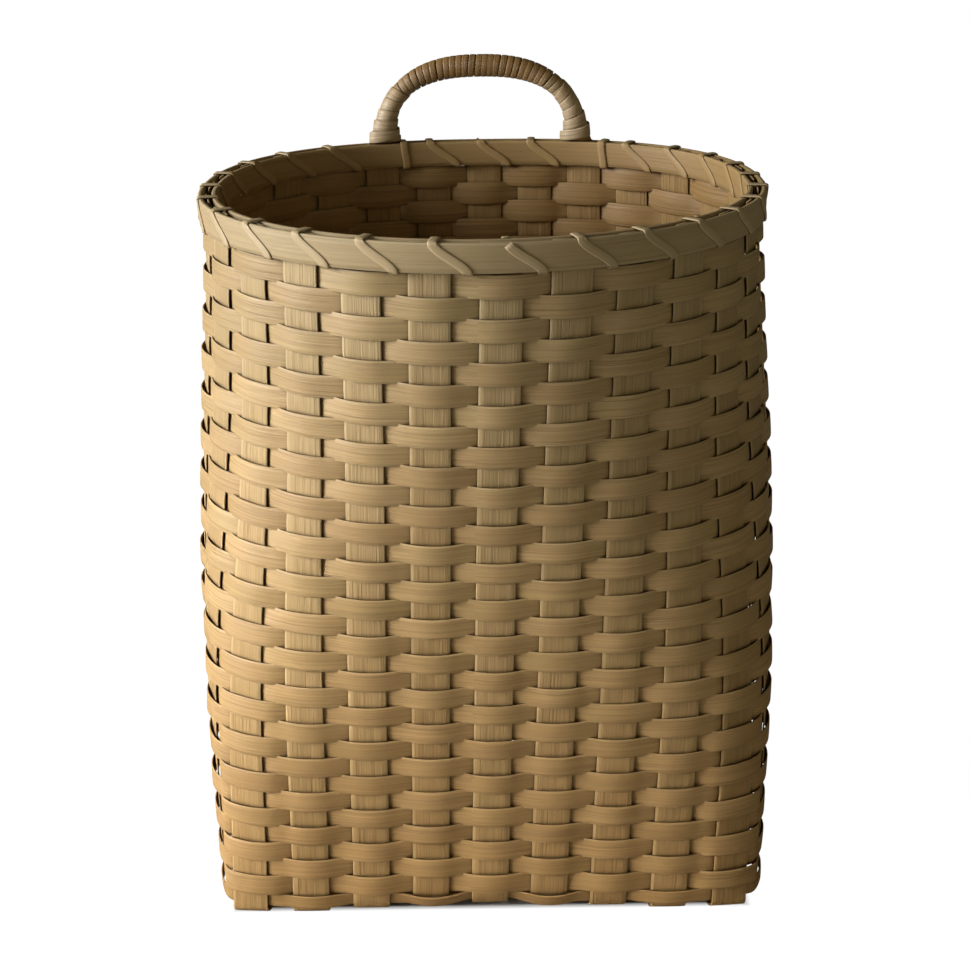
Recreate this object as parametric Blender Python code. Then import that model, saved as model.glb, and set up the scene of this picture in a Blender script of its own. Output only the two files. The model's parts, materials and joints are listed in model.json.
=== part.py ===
"""Tall splint basket: plaited base, plain-woven wall, lashed double rim and wrapped loop handle.

Metres, +Z up. The front faces -Y and the handle stands on the back rim at +Y.
The origin is on the floor under the centre of the base.
Stake coordinate: 0 is the centre front stake, counted rightwards round the basket to 28.
Drop: the distance down a stake from the top of the rim.
"""
import math

import bmesh
import bpy
import numpy as np

# Body
BODY_HEIGHT = 0.460
BASE_HALF_WIDTH, MOUTH_HALF_WIDTH = 0.178, 0.1705
BELLY_BULGE, BELLY_SHARPNESS = 0.0110, 1.5
BASE_HALF_DEPTH, MOUTH_HALF_DEPTH, DEPTH_DELAY = 0.118, 0.160, 1.2
BASE_SQUARENESS, MOUTH_SQUARENESS, BACK_SQUARENESS = 12.0, 2.0, 2.45
SQUARENESS_FADE = 3.5
FRONT_BEND_RADIUS, CORNER_BEND_RADIUS = 0.020, 0.007

# Stakes: nine run front to back and five run side to side, all plaited in the base
FRONT_STAKES, SIDE_STAKES = 9, 5
STAKE_WIDTH, STAKE_THICKNESS = 0.0254, 0.0010
STAKE_TOP_DROP = 0.0005
STAKE_LEAN = 0.012
FRONT_EASE, SIDE_EASE = 0.045, 0.05
WALL_STATIONS, BEND_STATIONS = 7, 5

# Weavers
WEAVER_ROWS = 34
WEAVER_WIDTH, WEAVER_THICKNESS, WEAVER_PITCH = 0.0125, 0.0008, 0.0128
LAST_ROW_WIDTH, LAST_ROW_EASE = 0.0095, 0.0012
PIECE_GAP = 0.0003
CROSSING_MARGIN = 0.00015

# Rim
BAND_HEIGHT, BAND_THICKNESS, BAND_FACE = 0.017, 0.0030, 0.0027
HIDDEN_ROW_WIDTH, HIDDEN_ROW_DROP = 0.0110, 0.0085
LASH_WIDTH, LASH_THICKNESS = 0.0068, 0.0008
LASH_OUTER_GAP, LASH_INNER_GAP = 0.00060, 0.0008
LASH_TOP_STEP, LASH_LEG_STEP, LASH_UNDER_STEP = -0.04, -0.447, 0.5
LASH_ROOM = 0.0017

# Handle, standing on the second stake each side of the back centre
LEG_OFFSET = 2
HANDLE_RISE, HANDLE_SQUARENESS = 0.0530, 2.45
CORE_HALF_DEPTH, CORE_HALF_THICKNESS, CORE_WAIST = 0.0056, 0.0066, 0.0052
CORE_FOOT_FLARE, FLARE_FADE = 0.0090, 2.8
FOOT_CLEARANCE = 0.0010
TONGUE_LENGTH, TONGUE_HALF_WIDTH, TONGUE_THICKNESS = 0.0150, 0.0085, 0.0013
CORE_STATIONS, SECTION_SIDES = 36, 8
WRAP_TURNS, WRAP_WIDTH, WRAP_THICKNESS, WRAP_GAP = 24, 0.0046, 0.0010, 0.0005
WRAP_END_SHARE = 0.015

STAKE_COUNT = 2 * (FRONT_STAKES + SIDE_STAKES)
BACK_CENTRE = STAKE_COUNT // 2
RIGHT_CENTRE = STAKE_COUNT // 4
BASE_LEVEL = STAKE_THICKNESS + PIECE_GAP / 2
LAYER_STEP = (STAKE_THICKNESS + PIECE_GAP) / 2
WEAVE_OFFSET = STAKE_THICKNESS / 2 + PIECE_GAP + WEAVER_THICKNESS / 2
FIRST_ROW_DROP = BAND_HEIGHT + LASH_ROOM + WEAVER_WIDTH / 2
UP = np.array((0.0, 0.0, 1.0))

# Fineness of the curves that places are read from
OUTLINE_POINTS, ARCH_POINTS = 1441, 721
OUTLINE_REACH, ARCH_REACH = 0.002, 0.004
BEND_REACH_SHARE, FACET_SLACK = 0.9, 0.02
RIM_CORNER_SHARE = 0.06

# Finishes: colour and roughness
STRAW, PALE_STRAW, HONEY = (0.56, 0.43, 0.23), (0.62, 0.49, 0.28), (0.45, 0.31, 0.14)
ROUGH_SPLINT, SPLIT_SPLINT, SMOOTH_BAND, GLOSSY_STRIP = 0.62, 0.60, 0.55, 0.50


def unit(vector):
    """A vector of length one along the given vector."""
    return vector / np.linalg.norm(vector)


def half_width_at(level):
    """Half the wall's width at a share of the body's height: straight taper plus a belly."""
    taper = BASE_HALF_WIDTH + (MOUTH_HALF_WIDTH - BASE_HALF_WIDTH) * level
    return taper + BELLY_BULGE * max(math.sin(math.pi * level), 0.0) ** BELLY_SHARPNESS


def half_depth_at(level):
    """Half the wall's depth at a share of the body's height, easing out to the rounder mouth."""
    eased = max(level, 0.0) ** DEPTH_DELAY
    return BASE_HALF_DEPTH + (MOUTH_HALF_DEPTH - BASE_HALF_DEPTH) * eased ** 2 * (3 - 2 * eased)


def section_outline(height):
    """Points round the wall at a height, from the front centre rightwards, and their running length."""
    level = height / BODY_HEIGHT
    half_width, half_depth = half_width_at(level), half_depth_at(level)
    fade = (1 - min(level, 1.0)) ** SQUARENESS_FADE
    angle = np.linspace(0, 2 * math.pi, OUTLINE_POINTS)
    sine, cosine = np.sin(angle), np.cos(angle)
    mouth = np.where(cosine > 0, MOUTH_SQUARENESS, BACK_SQUARENESS)
    power = 2 / (mouth + (BASE_SQUARENESS - mouth) * fade)
    x = half_width * np.sign(sine) * np.abs(sine) ** power
    y = -half_depth * np.sign(cosine) * np.abs(cosine) ** power
    length = np.concatenate(([0.0], np.cumsum(np.hypot(np.diff(x), np.diff(y)))))
    return x, y, length


def section_place(stake, height):
    """Where a stake coordinate meets the wall section at a height, and the section's outward normal."""
    x, y, length = section_outline(height)
    level = height / BODY_HEIGHT
    turn = 2 * math.pi * stake / STAKE_COUNT
    lean = STAKE_LEAN * level * (0.5 + 0.5 * math.cos(turn)) / length[-1]
    front_ease = FRONT_EASE * level * math.sin(turn) / (2 * math.pi)
    side_ease = SIDE_EASE * (1 - level) * math.sin(2 * turn) / (4 * math.pi)
    share = stake / STAKE_COUNT + lean + front_ease - side_ease
    along = (share % 1.0) * length[-1] + np.array((0.0, -OUTLINE_REACH, OUTLINE_REACH))
    px = np.interp(along % length[-1], length, x)
    py = np.interp(along % length[-1], length, y)
    tangent = unit(np.array((px[2] - px[1], py[2] - py[1], 0.0)))
    normal = np.array((tangent[1], -tangent[0], 0.0))
    return np.array((px[0], py[0], 0.0)), tangent, normal


def bend_radius(stake):
    """Radius of the turn into the base: wide at the middle of the front and back, tight elsewhere."""
    from_front = abs((stake + BACK_CENTRE) % STAKE_COUNT - BACK_CENTRE)
    index = min(from_front, BACK_CENTRE - from_front)
    if index >= FRONT_STAKES // 2:
        return CORNER_BEND_RADIUS
    bulge = math.cos(math.pi * index / (FRONT_STAKES - 1)) ** 2
    return CORNER_BEND_RADIUS + (FRONT_BEND_RADIUS - CORNER_BEND_RADIUS) * bulge


def wall_frame(stake, drop):
    """Centre, width direction and outward normal of the wall at a stake coordinate and a drop."""
    radius = bend_radius(stake)
    straight = BODY_HEIGHT - BASE_LEVEL - radius
    angle = max(0.0, (drop - straight) / radius)
    height = BODY_HEIGHT - drop
    if angle > 0:
        height = BASE_LEVEL + radius * (1 - math.sin(angle))
    place, tangent, normal = section_place(stake, height)
    centre = place - normal * radius * (1 - math.cos(angle)) + UP * height
    return centre, tangent, math.cos(angle) * normal - math.sin(angle) * UP


class StakeLeg:
    """One stake's run from the rim down the wall and round the bend, as a few straight lengths."""

    def __init__(self, stake):
        radius = bend_radius(stake)
        straight = BODY_HEIGHT - BASE_LEVEL - radius
        wall_drops = np.linspace(STAKE_TOP_DROP, straight, WALL_STATIONS)
        bend_drops = straight + radius * math.pi / 2 * np.arange(1, BEND_STATIONS + 1) / BEND_STATIONS
        self.stake = stake
        self.drops = np.concatenate((wall_drops, bend_drops))
        frames = [wall_frame(stake, drop) for drop in self.drops]
        self.centres = np.array([frame[0] for frame in frames])
        self.widths = np.array([frame[1] for frame in frames])
        self.normals = np.array([frame[2] for frame in frames])
        for index, path in enumerate(np.gradient(self.centres[:WALL_STATIONS], axis=0)):
            path = unit(path)
            self.normals[index] = unit(self.normals[index] - path * np.dot(self.normals[index], path))
        self.square_to_base()

    def square_to_base(self):
        """Turn the width direction, through the bend, square to the stake's straight run under the basket."""
        runs_front_to_back = min(self.stake % BACK_CENTRE, -self.stake % BACK_CENTRE) <= FRONT_STAKES // 2
        across = np.array((1.0, 0.0, 0.0)) if runs_front_to_back else np.array((0.0, 1.0, 0.0))
        across = across * np.sign(np.dot(across, self.widths[-1]))
        for step in range(1, BEND_STATIONS + 1):
            share = step / BEND_STATIONS
            index = WALL_STATIONS - 1 + step
            self.widths[index] = unit((1 - share) * self.widths[index] + share * across)

    def frame(self, drop):
        """Centre, width direction, normal and downward direction at a drop."""
        def read(rows):
            return np.array([np.interp(drop, self.drops, rows[:, axis]) for axis in range(3)])
        width = unit(read(self.widths))
        normal = unit(read(self.normals))
        return read(self.centres), width, normal, unit(np.cross(normal, width))

    def stand_off(self, drop, width):
        """How far a weaver's middle lies from this stake's, with room for the stake's twist."""
        slack = 0.0
        for edge in (drop - width / 2, drop, drop + width / 2):
            index = int(np.clip(np.searchsorted(self.drops, edge), 1, len(self.drops) - 1))
            start, end = self.drops[index - 1], self.drops[index]
            share = np.clip((edge - start) / (end - start), 0, 1)
            twist = np.linalg.norm(self.widths[index] - self.widths[index - 1])
            slack = max(slack, STAKE_WIDTH * twist * share * (1 - share))
        return WEAVE_OFFSET + slack

    def aside(self, drop, normal):
        """The direction a weaver is set out in: level on the wall, square to the stake on the bend."""
        if drop > BODY_HEIGHT - BASE_LEVEL - bend_radius(self.stake):
            return normal
        level = np.array((normal[0], normal[1], 0.0))
        return level / np.dot(level, level)

    def bend_sag(self, drop, width):
        """How far the bend curls away from a flat weaver lying inside it."""
        radius = bend_radius(self.stake)
        into_bend = drop + width / 2 - (BODY_HEIGHT - BASE_LEVEL - radius)
        reach = min(max(into_bend, 0.0), width / 2, radius * BEND_REACH_SHARE)
        facet_slack = FACET_SLACK * radius if into_bend > 0 else 0.0
        return radius - math.sqrt(radius ** 2 - reach ** 2) + facet_slack


def add_object(name, mesh, colour, roughness):
    """Put a mesh in the scene under its own name and its own finish."""
    material = bpy.data.materials.new(name + "_finish")
    material.use_nodes = True
    shader = material.node_tree.nodes["Principled BSDF"]
    shader.inputs["Base Color"].default_value = (*colour, 1.0)
    shader.inputs["Roughness"].default_value = roughness
    shader.inputs["Metallic"].default_value = 0.0
    mesh.materials.append(material)
    bpy.context.scene.collection.objects.link(bpy.data.objects.new(name, mesh))


def loft(name, sections, closed, colour, roughness):
    """Join equal sections, each a ring of points, into one solid: a hoop, or a length with two ends.

    Both faces of a strip are split along the same diagonal, so a twisted strip keeps its thickness.
    """
    shape = bmesh.new()
    rings = [[shape.verts.new(point) for point in section] for section in sections]
    sides = len(rings[0])
    pairs = list(zip(rings, rings[1:]))
    if closed:
        pairs.append((rings[-1], rings[0]))
    for ring, following in pairs:
        for side in range(sides):
            ahead = (side + 1) % sides
            if side < sides // 2:
                triangles = ((ring[side], ring[ahead], following[ahead]),
                             (ring[side], following[ahead], following[side]))
            else:
                triangles = ((ring[side], ring[ahead], following[side]),
                             (ring[ahead], following[ahead], following[side]))
            for triangle in triangles:
                shape.faces.new(triangle)
    if not closed:
        shape.faces.new(rings[0])
        shape.faces.new(list(reversed(rings[-1])))
    bmesh.ops.recalc_face_normals(shape, faces=shape.faces)
    mesh = bpy.data.meshes.new(name)
    shape.to_mesh(mesh)
    shape.free()
    add_object(name, mesh, colour, roughness)


def flat_section(centre, across, through):
    """The four corners of a flat strip, from its half-width and half-thickness vectors."""
    return [centre + across + through, centre - across + through,
            centre - across - through, centre + across - through]


def base_line(leg):
    """Where a stake's straight run under the basket starts."""
    return leg.centres[-1]


def leg_sections(leg, across):
    """Sections of a stake from the rim to the base, with one edge always on the same side."""
    sections = []
    for centre, width, normal in zip(leg.centres, leg.widths, leg.normals):
        half_width = width * np.sign(np.dot(width, across)) * STAKE_WIDTH / 2
        sections.append(flat_section(centre, half_width, normal * STAKE_THICKNESS / 2))
    return sections


def stake_sections(leg, far_leg, crossings, across, starts_under):
    """Sections of one U-shaped stake: down one wall, over and under its crossings, up the far wall."""
    half_width, half_thickness = STAKE_WIDTH / 2, STAKE_THICKNESS / 2
    sections = leg_sections(leg, across)
    begin, finish = base_line(leg), base_line(far_leg)
    run = unit((finish - begin) * (1, 1, 0))
    for index, crossing in enumerate(crossings):
        under = (index % 2 == 0) == starts_under
        level = BASE_LEVEL - LAYER_STEP if under else BASE_LEVEL + LAYER_STEP
        for edge in (-half_width, half_width):
            along = np.dot(crossing - begin, run) + edge
            share = along / np.dot(finish - begin, run)
            centre = begin + (finish - begin) * share
            centre[2] = level
            sections.append(flat_section(centre, across * half_width, -UP * half_thickness))
    return sections + list(reversed(leg_sections(far_leg, across)))


def build_stakes(legs):
    """The stakes, plaited over one and under one where they cross in the base."""
    front_reach, side_reach = FRONT_STAKES // 2, SIDE_STAKES // 2
    x_axis, y_axis = np.array((1.0, 0.0, 0.0)), np.array((0.0, 1.0, 0.0))
    side_lines = [base_line(legs[RIGHT_CENTRE + side]) * (0, 1, 0)
                  for side in range(-side_reach, side_reach + 1)]
    front_lines = [base_line(legs[front % STAKE_COUNT]) * (1, 0, 0)
                   for front in range(-front_reach, front_reach + 1)]
    for number, front in enumerate(range(-front_reach, front_reach + 1), 1):
        sections = stake_sections(legs[front % STAKE_COUNT], legs[BACK_CENTRE - front],
                                  side_lines, x_axis, starts_under=(front + side_reach) % 2 == 0)
        loft(f"front_stake_{number}", sections, False, PALE_STRAW, ROUGH_SPLINT)
    for number, side in enumerate(range(-side_reach, side_reach + 1), 1):
        sections = stake_sections(legs[(STAKE_COUNT - RIGHT_CENTRE) - side], legs[RIGHT_CENTRE + side],
                                  front_lines, y_axis, starts_under=(side + front_reach) % 2 == 1)
        loft(f"side_stake_{number}", sections, False, PALE_STRAW, ROUGH_SPLINT)


def weaver_sections(legs, row, drop, width, flat_inside):
    """Sections of one hoop: flat outside every other stake, and drawn in behind the stakes between."""
    half_stake = STAKE_WIDTH / 2
    sections = []
    for stake, leg in enumerate(legs):
        centre, along, normal, down = leg.frame(drop)
        through, tall = normal * WEAVER_THICKNESS / 2, down * width / 2
        outside = (row + stake) % 2 == 1
        near = leg.stand_off(drop, width)
        aside = leg.aside(drop, normal)
        if outside or flat_inside:
            side = near if outside else -near
            for edge in (-half_stake, half_stake):
                sections.append(flat_section(centre + along * edge + aside * side, tall, through))
            continue
        before, after = legs[stake - 1], legs[(stake + 1) % STAKE_COUNT]
        pitch = min(np.linalg.norm(centre - next_leg.frame(drop)[0]) for next_leg in (before, after))
        leave = max(next_leg.stand_off(drop, width) for next_leg in (before, after))
        space = pitch - STAKE_WIDTH
        offset = near + CROSSING_MARGIN + leg.bend_sag(drop, width)
        draw_in = (leave + offset) * (space + half_stake) / space - leave
        sections.append(flat_section(centre - aside * draw_in, tall, through))
    return sections


def build_weavers(legs):
    """The rows of weavers, and the hidden row that the rim bands grip."""
    sections = weaver_sections(legs, 0, HIDDEN_ROW_DROP, HIDDEN_ROW_WIDTH, flat_inside=True)
    loft("rim_row", sections, True, STRAW, SPLIT_SPLINT)
    for row in range(1, WEAVER_ROWS + 1):
        width = WEAVER_WIDTH
        drop = FIRST_ROW_DROP + (row - 1) * WEAVER_PITCH
        if row == WEAVER_ROWS:
            width = LAST_ROW_WIDTH
            drop += LAST_ROW_EASE - (WEAVER_WIDTH - width) / 2
        sections = weaver_sections(legs, row, drop, width, flat_inside=False)
        loft(f"weaver_{row:02d}", sections, True, STRAW, SPLIT_SPLINT)


def rim_corner(legs, gap, offset):
    """The rim's corner in the gap after a stake, where flats lying at an offset to both neighbours meet."""
    wall, _, outward = wall_frame(gap + 0.5, 0.0)
    falls = []
    for leg in (legs[gap], legs[(gap + 1) % STAKE_COUNT]):
        place, _, normal, _ = leg.frame(0.0)
        falls.append(np.dot(wall - place, normal))
    fall = min(falls) if offset > 0 else max(falls)
    return wall + outward * (offset - fall), outward


def rim_flat(legs, stake_share, offset):
    """Point, direction and normal on the rim's many-sided ring at a stake coordinate."""
    gap = math.floor(stake_share - 0.5)
    share = stake_share - 0.5 - gap
    before, normal_before = rim_corner(legs, gap % STAKE_COUNT, offset)
    after, normal_after = rim_corner(legs, (gap + 1) % STAKE_COUNT, offset)
    direction = unit(after - before)
    normal = np.array((direction[1], -direction[0], 0.0))
    if share < RIM_CORNER_SHARE:
        normal = normal_before
    if share > 1 - RIM_CORNER_SHARE:
        normal = normal_after
    return before + (after - before) * share, np.array((-normal[1], normal[0], 0.0)), normal


def build_bands(legs):
    """The outer and inner rim bands, which grip the stake tops and the hidden row."""
    centre_offset = BAND_FACE + BAND_THICKNESS / 2
    middle = -UP * BAND_HEIGHT / 2
    for name, offset in (("outer_rim_band", centre_offset), ("inner_rim_band", -centre_offset)):
        sections = []
        for gap in range(STAKE_COUNT):
            corner, outward = rim_corner(legs, gap, offset)
            sections.append(flat_section(corner + middle, UP * BAND_HEIGHT / 2, outward * BAND_THICKNESS / 2))
        loft(name, sections, True, STRAW, SMOOTH_BAND)


def lash_sections(legs, loops):
    """Sections of one lashing strip, folded over the rim's four edges once in each gap between stakes."""
    outside = BAND_FACE + BAND_THICKNESS + LASH_OUTER_GAP + LASH_THICKNESS / 2
    inside = BAND_FACE + BAND_THICKNESS + LASH_INNER_GAP + LASH_THICKNESS / 2
    over = UP * (LASH_OUTER_GAP + LASH_THICKNESS / 2)
    under = -UP * BAND_HEIGHT - over
    leg_stakes = (BACK_CENTRE - LEG_OFFSET, BACK_CENTRE + LEG_OFFSET)

    def top_step(stake):
        return stake + (LASH_LEG_STEP if stake % STAKE_COUNT in leg_stakes else LASH_TOP_STEP)

    sections = []
    for stake in loops:
        low = stake + LASH_UNDER_STEP
        folds = ((top_step(stake), outside, over, 1, 1), (low, outside, under, 1, -1),
                 (low, -inside, under, -1, -1), (top_step(stake + 1), -inside, over, -1, 1))
        for place, offset, lift, outward, upward in folds:
            centre, tangent, normal = rim_flat(legs, place, offset)
            through = (normal * outward + UP * upward) * LASH_THICKNESS / 2
            sections.append(flat_section(centre + lift, tangent * LASH_WIDTH / 2, through))
    return sections


def least_gap(sections, apart):
    """The least distance between points on the faces of a strip that lie some sections apart."""
    steps = 5
    points, order = [], []
    for index, (section, following) in enumerate(zip(sections, sections[1:])):
        start, end = np.array(section), np.array(following)
        for step in range(steps):
            ring = start + (end - start) * step / steps
            for share in (0.0, 0.5):
                points.extend(ring + (np.roll(ring, -1, axis=0) - ring) * share)
            order.extend([index + step / steps] * 2 * len(ring))
    points, order = np.array(points), np.array(order)
    least = math.inf
    for place, at in zip(points, order):
        far = np.abs(order - at) >= apart
        if far.any():
            least = min(least, np.min(np.linalg.norm(points[far] - place, axis=1)))
    return least


def build_lashing(legs):
    """Two lashing strips, which meet at the front and at the back."""
    folds = 4
    for name, loops in (("right_rim_lashing", range(0, BACK_CENTRE)),
                        ("left_rim_lashing", range(BACK_CENTRE, STAKE_COUNT))):
        sections = lash_sections(legs, loops)
        print(f"{name}: least gap to itself {least_gap(sections, folds) * 1000:.2f} mm")
        loft(name, sections, False, PALE_STRAW, GLOSSY_STRIP)


class HandleLine:
    """The handle's centre line, an arch from the right foot to the left foot, and its frame."""

    def __init__(self, legs):
        self.right = legs[BACK_CENTRE - LEG_OFFSET].frame(0.0)
        self.left = legs[BACK_CENTRE + LEG_OFFSET].frame(0.0)
        angles = np.linspace(0, math.pi, ARCH_POINTS)
        power = 2 / HANDLE_SQUARENESS
        level = np.sin(angles) ** power
        across = np.sign(np.cos(angles)) * np.abs(np.cos(angles)) ** power
        middle = (self.right[0] + self.left[0]) / 2
        half_span = (self.right[0] - self.left[0]) / 2
        rise = UP * (HANDLE_RISE - FOOT_CLEARANCE)
        base = middle + UP * FOOT_CLEARANCE
        self.points = base + across[:, None] * half_span + level[:, None] * rise
        steps = np.linalg.norm(np.diff(self.points, axis=0), axis=1)
        self.length = np.concatenate(([0.0], np.cumsum(steps)))

    def frame(self, share):
        """Point, direction, in-plane outward normal, depth direction and height share along the arch."""
        along = np.clip(share, 0, 1) * self.length[-1] + np.array((-ARCH_REACH, 0.0, ARCH_REACH))
        along = np.clip(along, 0, self.length[-1])
        points = np.array([np.interp(along, self.length, self.points[:, axis]) for axis in range(3)]).T
        direction = unit(points[2] - points[0])
        level = (points[1][2] - self.points[0][2]) / (HANDLE_RISE - FOOT_CLEARANCE)
        foot = self.right if share < 0.5 else self.left
        depth = unit((1 - level) ** 2 * foot[2] + (1 - (1 - level) ** 2) * np.array((0.0, 1.0, 0.0)))
        depth = unit(depth - direction * np.dot(depth, direction))
        return points[1], direction, np.cross(direction, depth), depth, level

    def half_sizes(self, level):
        """Half-thickness in the arch's plane, slimmer down the legs and flared at the feet, and half-depth."""
        below_top = max(1 - level, 0.0)
        flare = CORE_FOOT_FLARE * below_top ** FLARE_FADE
        return CORE_HALF_THICKNESS - CORE_WAIST * below_top + flare, CORE_HALF_DEPTH


def round_section(centre, across, deep, sides):
    """A ring of points round an oval with slightly squared shoulders."""
    angles = 2 * math.pi * (np.arange(sides) + 0.5) / sides
    shoulder = 1 / max(abs(math.cos(angles[0])), abs(math.sin(angles[0])))
    return [centre + (across * math.cos(angle) + deep * math.sin(angle)) * shoulder for angle in angles]


def tongue_sections(foot, outer_side):
    """The thin end of the core, tucked between a stake and the outer band."""
    place, width, normal, _ = foot
    offset = STAKE_THICKNESS / 2 + PIECE_GAP + TONGUE_THICKNESS / 2
    centre = place + normal * offset
    across, deep = width * TONGUE_HALF_WIDTH * outer_side, normal * TONGUE_THICKNESS / 2
    return [round_section(centre + UP * lift, across, deep, SECTION_SIDES)
            for lift in (-TONGUE_LENGTH, FOOT_CLEARANCE)]


def build_handle(legs):
    """The bent core with its two tongues, and the strip wound round it from foot to foot."""
    line = HandleLine(legs)
    arch = []
    for share in np.linspace(0, 1, CORE_STATIONS + 1):
        centre, _, across, deep, level = line.frame(share)
        half_thickness, half_depth = line.half_sizes(level)
        arch.append(round_section(centre, across * half_thickness, deep * half_depth, SECTION_SIDES))
    right_tongue = tongue_sections(line.right, 1)
    left_tongue = tongue_sections(line.left, -1)
    core = right_tongue + arch + list(reversed(left_tongue))
    loft("handle_core", core, False, HONEY, SPLIT_SPLINT)

    def wrap_point(share, side):
        centre, _, across, deep, level = line.frame(share)
        half_thickness, half_depth = np.array(line.half_sizes(level)) + WRAP_GAP + WRAP_THICKNESS / 2
        ring = round_section(centre, across * half_thickness, deep * half_depth, SECTION_SIDES)
        return ring[side], unit(ring[side] - centre)

    sections = []
    count = WRAP_TURNS * SECTION_SIDES
    for step in range(count + 1):
        side = step % SECTION_SIDES
        share = 2 * WRAP_END_SHARE + (1 - 4 * WRAP_END_SHARE) * step / count
        place, outward = wrap_point(share, side)
        ahead, behind = wrap_point(share + WRAP_END_SHARE, side), wrap_point(share - WRAP_END_SHARE, side)
        along = unit(ahead[0] - behind[0])
        outward = unit(outward - along * np.dot(outward, along))
        sections.append(flat_section(place, along * WRAP_WIDTH / 2, outward * WRAP_THICKNESS / 2))
    gap = least_gap(sections, SECTION_SIDES / 2 + 1)
    print(f"handle_wrap: least gap to itself {gap * 1000:.2f} mm")
    loft("handle_wrap", sections, False, HONEY, GLOSSY_STRIP)


def main():
    """Clear the scene and build every piece of the basket."""
    for old in list(bpy.data.objects):
        bpy.data.objects.remove(old, do_unlink=True)
    legs = [StakeLeg(stake) for stake in range(STAKE_COUNT)]
    build_stakes(legs)
    build_weavers(legs)
    build_bands(legs)
    build_lashing(legs)
    build_handle(legs)


main()
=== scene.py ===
"""Looks of a tall splint basket: plaited base, plain-woven wall, lashed double rim and wrapped loop handle.

Metres, +Z up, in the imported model's frame. The front faces -Y and the handle stands on the back rim at +Y.
Stake coordinate: 0 is the centre front stake, counted rightwards round the basket to 28.
Drop: the distance down a stake from the top of the rim.
"""
import json
import logging
import math
from dataclasses import dataclass
from enum import Enum
from functools import lru_cache
from typing import Any, Iterable, NamedTuple

import bpy
import numpy as np
from bpy.types import Material, Mesh, Node, NodeSocket, NodeTree, Object
from mathutils import Matrix, Vector

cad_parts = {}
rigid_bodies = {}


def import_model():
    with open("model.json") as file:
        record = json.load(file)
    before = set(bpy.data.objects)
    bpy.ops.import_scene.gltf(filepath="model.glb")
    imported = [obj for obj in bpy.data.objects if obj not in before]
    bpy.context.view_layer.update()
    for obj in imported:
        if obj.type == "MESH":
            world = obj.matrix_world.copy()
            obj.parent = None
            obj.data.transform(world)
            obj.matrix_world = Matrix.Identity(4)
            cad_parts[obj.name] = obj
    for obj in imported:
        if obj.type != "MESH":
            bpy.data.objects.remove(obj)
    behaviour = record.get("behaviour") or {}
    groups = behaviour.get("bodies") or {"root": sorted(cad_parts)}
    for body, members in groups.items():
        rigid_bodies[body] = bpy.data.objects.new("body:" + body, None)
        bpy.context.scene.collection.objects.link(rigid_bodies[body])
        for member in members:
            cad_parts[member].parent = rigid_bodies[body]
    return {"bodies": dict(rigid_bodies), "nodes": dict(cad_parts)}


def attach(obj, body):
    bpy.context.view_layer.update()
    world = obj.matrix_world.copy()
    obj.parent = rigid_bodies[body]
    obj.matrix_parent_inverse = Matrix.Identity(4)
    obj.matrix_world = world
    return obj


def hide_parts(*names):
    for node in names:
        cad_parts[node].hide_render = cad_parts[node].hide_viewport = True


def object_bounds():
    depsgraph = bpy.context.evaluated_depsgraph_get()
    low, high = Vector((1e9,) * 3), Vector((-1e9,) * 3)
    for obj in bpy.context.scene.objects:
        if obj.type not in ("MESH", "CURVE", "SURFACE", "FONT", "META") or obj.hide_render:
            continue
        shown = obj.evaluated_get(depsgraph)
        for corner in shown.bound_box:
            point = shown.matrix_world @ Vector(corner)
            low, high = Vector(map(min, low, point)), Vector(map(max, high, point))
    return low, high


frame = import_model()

LOG = logging.getLogger("basket")
CAD_LOW, CAD_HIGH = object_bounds()
BODY = "root"
UP = np.array((0.0, 0.0, 1.0))
WHITE = (1.0, 1.0, 1.0, 1.0)
Pair = tuple[float, float]
Triple = tuple[float, float, float]
Numbers = tuple[float, ...]
Colour = Triple
Sockets = dict[str, tuple[str, ...]]


class Slot(Enum):
    """The record's material slots."""

    STAKE = "stake_splint"
    WEAVER = "weaver_splint"
    BAND = "rim_band"
    LASHING = "lashing_strip"
    CORE = "handle_wood"
    WRAP = "handle_strip"


class Layer(Enum):
    """The UV maps that every strip carries."""

    GRAIN = "Grain"
    STRIP = "Strip"
    PLACE = "Place"


def unit(vectors: np.ndarray) -> np.ndarray:
    """Scale vectors, or one vector, to length one."""
    return vectors / np.linalg.norm(vectors, axis=-1, keepdims=True)


def blend(first: np.ndarray, second: np.ndarray, share: np.ndarray) -> np.ndarray:
    """Mix two values by a share of the second."""
    return first + (second - first) * share


def ease(share: np.ndarray) -> np.ndarray:
    """Turn an even share from 0 to 1 into one that starts and stops gently."""
    return share * share * (3 - 2 * share)


def rgba(colour: Colour) -> Numbers:
    """A colour with full opacity."""
    return (*colour, 1.0)


def square_to(vectors: np.ndarray, along: np.ndarray) -> np.ndarray:
    """Turn vectors square to the directions of travel beside them."""
    return unit(vectors - along * np.sum(vectors * along, axis=1, keepdims=True))


def path_directions(points: np.ndarray, closed: bool) -> np.ndarray:
    """Find the direction of travel at each point of a line.

    Args:
        points: the line's points, in order.
        closed: whether the last point joins the first.

    Returns:
        One unit vector for each point.
    """
    if closed:
        return unit(np.roll(points, -1, axis=0) - np.roll(points, 1, axis=0))
    return unit(np.gradient(points, axis=0))


class LegFrame(NamedTuple):
    """A place on a stake: its centre, and its width, outward and downward directions."""

    centre: np.ndarray
    width: np.ndarray
    normal: np.ndarray
    down: np.ndarray


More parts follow.
